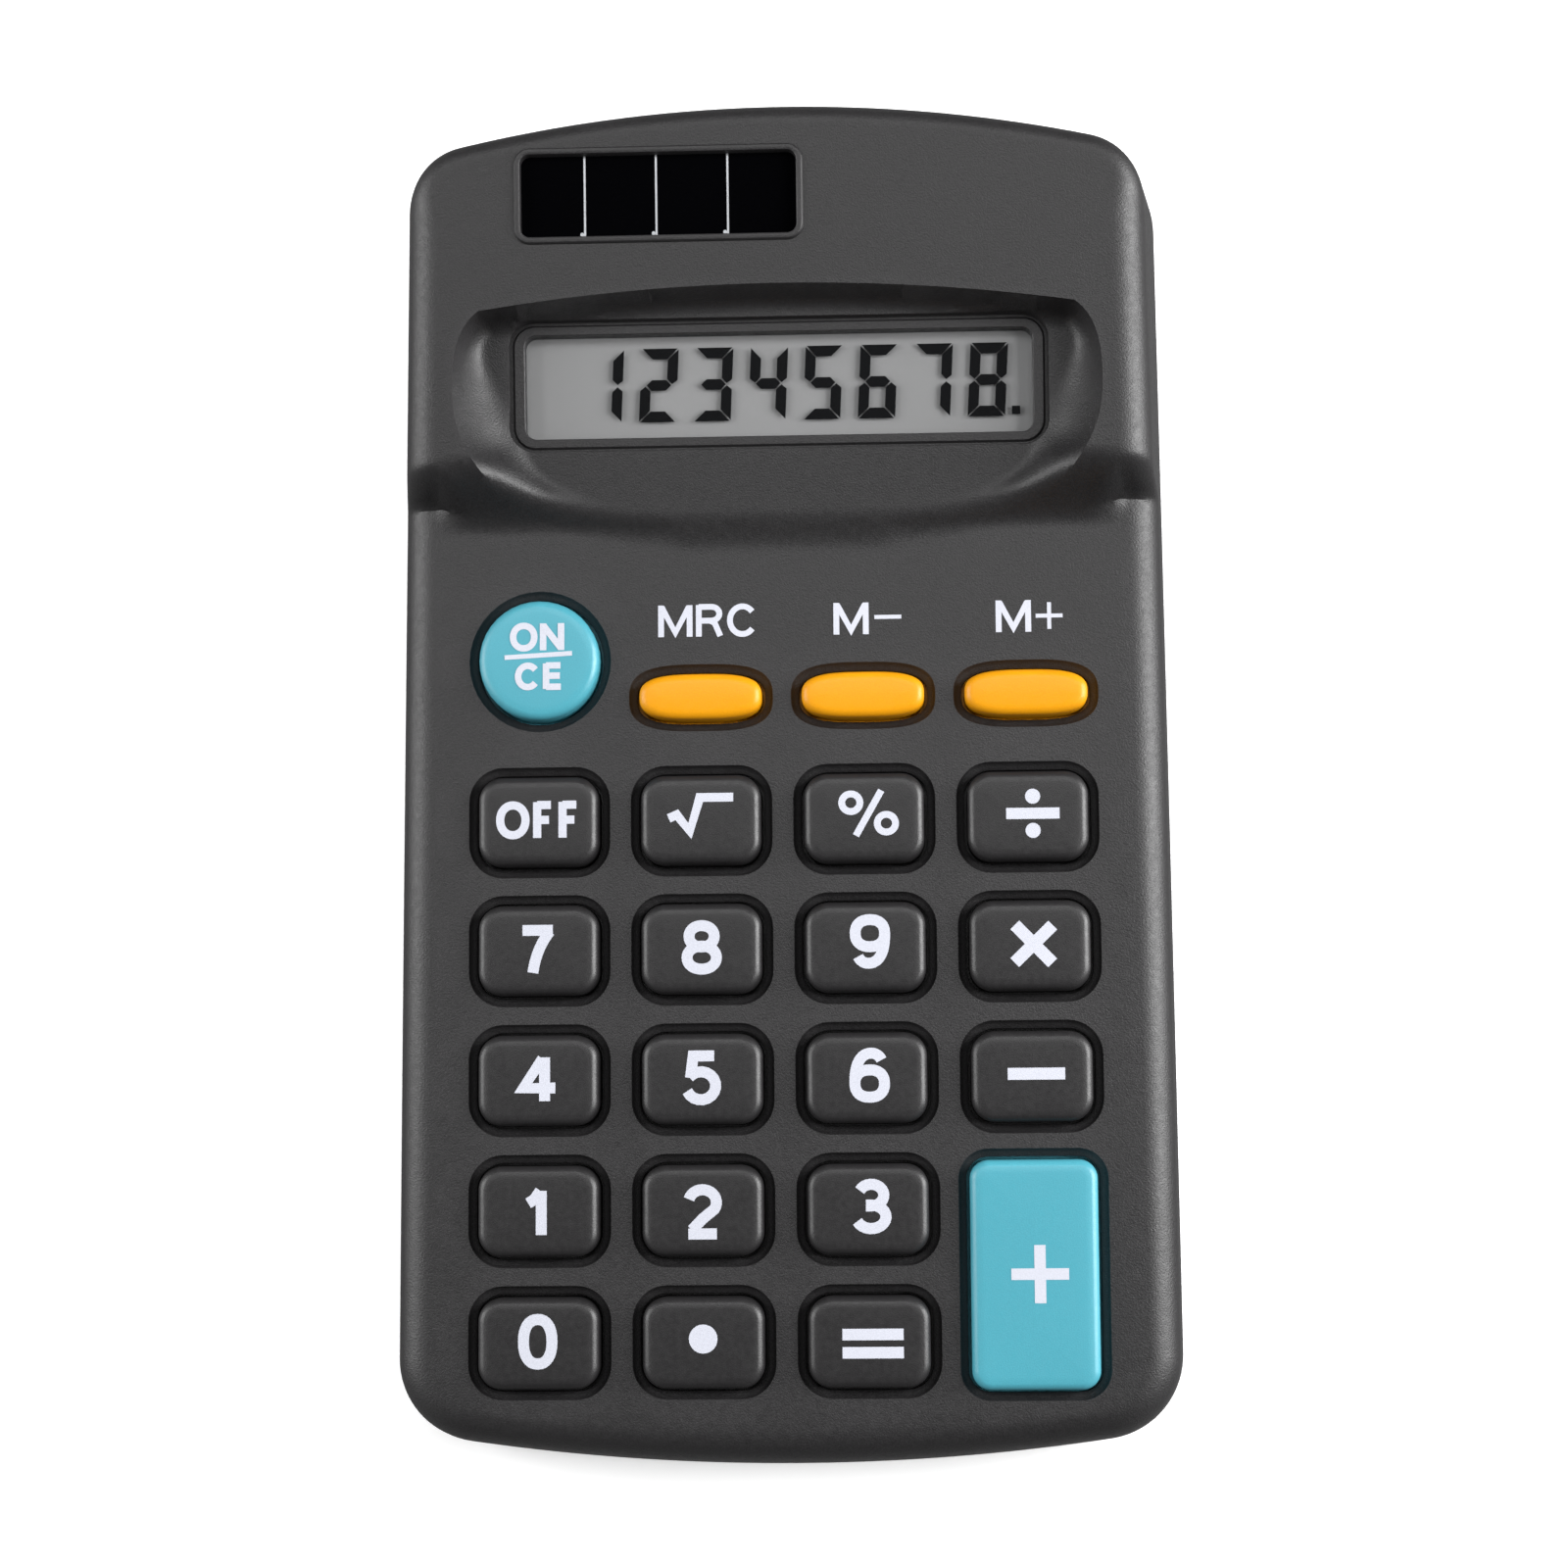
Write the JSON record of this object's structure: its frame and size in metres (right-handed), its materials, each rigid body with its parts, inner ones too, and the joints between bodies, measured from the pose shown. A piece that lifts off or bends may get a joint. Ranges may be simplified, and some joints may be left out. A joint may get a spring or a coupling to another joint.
{
  "type": "pocket calculator",
  "caption": "Wedge-shaped pocket calculator: push keys on a rubber mat, a tilted display under a hood, a solar cell, and a battery bay with a hinged door.",
  "frame": {"origin": "middle of the back face, halfway along the case's length, on the plane it rests on", "axes": "+X to the right seen from the front, +Y from the keys towards the display, +Z out of the front"},
  "size_m": [0.0668, 0.1164, 0.0194],
  "materials": {
    "case_plastic": "fine spark-eroded grain, satin sheen",
    "charcoal_key": "smooth satin",
    "teal_key": "smooth satin",
    "amber_key": "smooth satin",
    "mat_rubber": "matte silicone",
    "board": "phenolic laminate",
    "chip_resin": "poured epoxy",
    "clear_plastic": "clear acrylic",
    "display_glass": "polarised glass over a grey reflector",
    "foam": "closed-cell foam",
    "film": "polyester film with carbon tracks",
    "solar_glass": "dark amorphous silicon behind glass",
    "battery_sleeve": "printed sleeve on a steel can",
    "contact_steel": "nickel plated spring steel",
    "screw_steel": "zinc plated",
    "red_wire": "wire insulation",
    "black_wire": "wire insulation"
  },
  "bodies": {
    "housing": {"front_case": "case_plastic", "rear_case": "case_plastic", "keypad_mat": "mat_rubber", "circuit_board": "board", "chip_blob": "chip_resin", "case_screw_1": "screw_steel", "case_screw_2": "screw_steel", "case_screw_3": "screw_steel", "case_screw_4": "screw_steel", "board_screw_1": "screw_steel", "board_screw_2": "screw_steel", "board_screw_3": "screw_steel", "board_screw_4": "screw_steel", "display_window": "clear_plastic", "display_panel": "display_glass", "display_pad": "foam", "display_ribbon": "film", "solar_cell": "solar_glass", "battery_cell": "battery_sleeve", "battery_spring": "contact_steel", "battery_contact": "contact_steel", "battery_lead_positive": "red_wire", "battery_lead_negative": "black_wire", "solar_lead_positive": "red_wire", "solar_lead_negative": "black_wire"},
    "battery_door": {"battery_door": "case_plastic"},
    "key_0": {"key_0": "charcoal_key"},
    "key_point": {"key_point": "charcoal_key"},
    "key_equals": {"key_equals": "charcoal_key"},
    "key_1": {"key_1": "charcoal_key"},
    "key_2": {"key_2": "charcoal_key"},
    "key_3": {"key_3": "charcoal_key"},
    "key_4": {"key_4": "charcoal_key"},
    "key_5": {"key_5": "charcoal_key"},
    "key_6": {"key_6": "charcoal_key"},
    "key_minus": {"key_minus": "charcoal_key"},
    "key_7": {"key_7": "charcoal_key"},
    "key_8": {"key_8": "charcoal_key"},
    "key_9": {"key_9": "charcoal_key"},
    "key_times": {"key_times": "charcoal_key"},
    "key_off": {"key_off": "charcoal_key"},
    "key_root": {"key_root": "charcoal_key"},
    "key_percent": {"key_percent": "charcoal_key"},
    "key_divide": {"key_divide": "charcoal_key"},
    "key_plus": {"key_plus": "teal_key"},
    "key_on_clear": {"key_on_clear": "teal_key"},
    "key_memory_recall": {"key_memory_recall": "amber_key"},
    "key_memory_minus": {"key_memory_minus": "amber_key"},
    "key_memory_plus": {"key_memory_plus": "amber_key"}
  },
  "joints": [
    {"name": "key_0_press", "type": "slide", "parent": "housing", "child": "key_0", "axis": [0, 0, -1], "range_m": [0, 0.0011], "stiffness_N_per_m": 60, "springref_m": -0.004, "deforming": ["keypad_mat"]},
    {"name": "key_point_press", "type": "slide", "parent": "housing", "child": "key_point", "axis": [0, 0, -1], "range_m": [0, 0.0011], "stiffness_N_per_m": 60, "springref_m": -0.004, "deforming": ["keypad_mat"]},
    {"name": "key_equals_press", "type": "slide", "parent": "housing", "child": "key_equals", "axis": [0, 0, -1], "range_m": [0, 0.0011], "stiffness_N_per_m": 60, "springref_m": -0.004, "deforming": ["keypad_mat"]},
    {"name": "key_1_press", "type": "slide", "parent": "housing", "child": "key_1", "axis": [0, 0, -1], "range_m": [0, 0.0011], "stiffness_N_per_m": 60, "springref_m": -0.004, "deforming": ["keypad_mat"]},
    {"name": "key_2_press", "type": "slide", "parent": "housing", "child": "key_2", "axis": [0, 0, -1], "range_m": [0, 0.0011], "stiffness_N_per_m": 60, "springref_m": -0.004, "deforming": ["keypad_mat"]},
    {"name": "key_3_press", "type": "slide", "parent": "housing", "child": "key_3", "axis": [0, 0, -1], "range_m": [0, 0.0011], "stiffness_N_per_m": 60, "springref_m": -0.004, "deforming": ["keypad_mat"]},
    {"name": "key_4_press", "type": "slide", "parent": "housing", "child": "key_4", "axis": [0, 0, -1], "range_m": [0, 0.0011], "stiffness_N_per_m": 60, "springref_m": -0.004, "deforming": ["keypad_mat"]},
    {"name": "key_5_press", "type": "slide", "parent": "housing", "child": "key_5", "axis": [0, 0, -1], "range_m": [0, 0.0011], "stiffness_N_per_m": 60, "springref_m": -0.004, "deforming": ["keypad_mat"]},
    {"name": "key_6_press", "type": "slide", "parent": "housing", "child": "key_6", "axis": [0, 0, -1], "range_m": [0, 0.0011], "stiffness_N_per_m": 60, "springref_m": -0.004, "deforming": ["keypad_mat"]},
    {"name": "key_minus_press", "type": "slide", "parent": "housing", "child": "key_minus", "axis": [0, 0, -1], "range_m": [0, 0.0011], "stiffness_N_per_m": 60, "springref_m": -0.004, "deforming": ["keypad_mat"]},
    {"name": "key_7_press", "type": "slide", "parent": "housing", "child": "key_7", "axis": [0, 0, -1], "range_m": [0, 0.0011], "stiffness_N_per_m": 60, "springref_m": -0.004, "deforming": ["keypad_mat"]},
    {"name": "key_8_press", "type": "slide", "parent": "housing", "child": "key_8", "axis": [0, 0, -1], "range_m": [0, 0.0011], "stiffness_N_per_m": 60, "springref_m": -0.004, "deforming": ["keypad_mat"]},
    {"name": "key_9_press", "type": "slide", "parent": "housing", "child": "key_9", "axis": [0, 0, -1], "range_m": [0, 0.0011], "stiffness_N_per_m": 60, "springref_m": -0.004, "deforming": ["keypad_mat"]},
    {"name": "key_times_press", "type": "slide", "parent": "housing", "child": "key_times", "axis": [0, 0, -1], "range_m": [0, 0.0011], "stiffness_N_per_m": 60, "springref_m": -0.004, "deforming": ["keypad_mat"]},
    {"name": "key_off_press", "type": "slide", "parent": "housing", "child": "key_off", "axis": [0, 0, -1], "range_m": [0, 0.0011], "stiffness_N_per_m": 60, "springref_m": -0.004, "deforming": ["keypad_mat"]},
    {"name": "key_root_press", "type": "slide", "parent": "housing", "child": "key_root", "axis": [0, 0, -1], "range_m": [0, 0.0011], "stiffness_N_per_m": 60, "springref_m": -0.004, "deforming": ["keypad_mat"]},
    {"name": "key_percent_press", "type": "slide", "parent": "housing", "child": "key_percent", "axis": [0, 0, -1], "range_m": [0, 0.0011], "stiffness_N_per_m": 60, "springref_m": -0.004, "deforming": ["keypad_mat"]},
    {"name": "key_divide_press", "type": "slide", "parent": "housing", "child": "key_divide", "axis": [0, 0, -1], "range_m": [0, 0.0011], "stiffness_N_per_m": 60, "springref_m": -0.004, "deforming": ["keypad_mat"]},
    {"name": "key_plus_press", "type": "slide", "parent": "housing", "child": "key_plus", "axis": [0, 0, -1], "range_m": [0, 0.0011], "stiffness_N_per_m": 60, "springref_m": -0.004, "deforming": ["keypad_mat"]},
    {"name": "key_on_clear_press", "type": "slide", "parent": "housing", "child": "key_on_clear", "axis": [0, 0, -1], "range_m": [0, 0.0011], "stiffness_N_per_m": 60, "springref_m": -0.004, "deforming": ["keypad_mat"]},
    {"name": "key_memory_recall_press", "type": "slide", "parent": "housing", "child": "key_memory_recall", "axis": [0, 0, -1], "range_m": [0, 0.0011], "stiffness_N_per_m": 60, "springref_m": -0.004, "deforming": ["keypad_mat"]},
    {"name": "key_memory_minus_press", "type": "slide", "parent": "housing", "child": "key_memory_minus", "axis": [0, 0, -1], "range_m": [0, 0.0011], "stiffness_N_per_m": 60, "springref_m": -0.004, "deforming": ["keypad_mat"]},
    {"name": "key_memory_plus_press", "type": "slide", "parent": "housing", "child": "key_memory_plus", "axis": [0, 0, -1], "range_m": [0, 0.0011], "stiffness_N_per_m": 60, "springref_m": -0.004, "deforming": ["keypad_mat"]},
    {"name": "battery_door_swing", "type": "hinge", "parent": "housing", "child": "battery_door", "pos_m": [0, 0.03915, 0], "axis": [-1, 0, 0], "range_deg": [0, 65]}
  ]
}
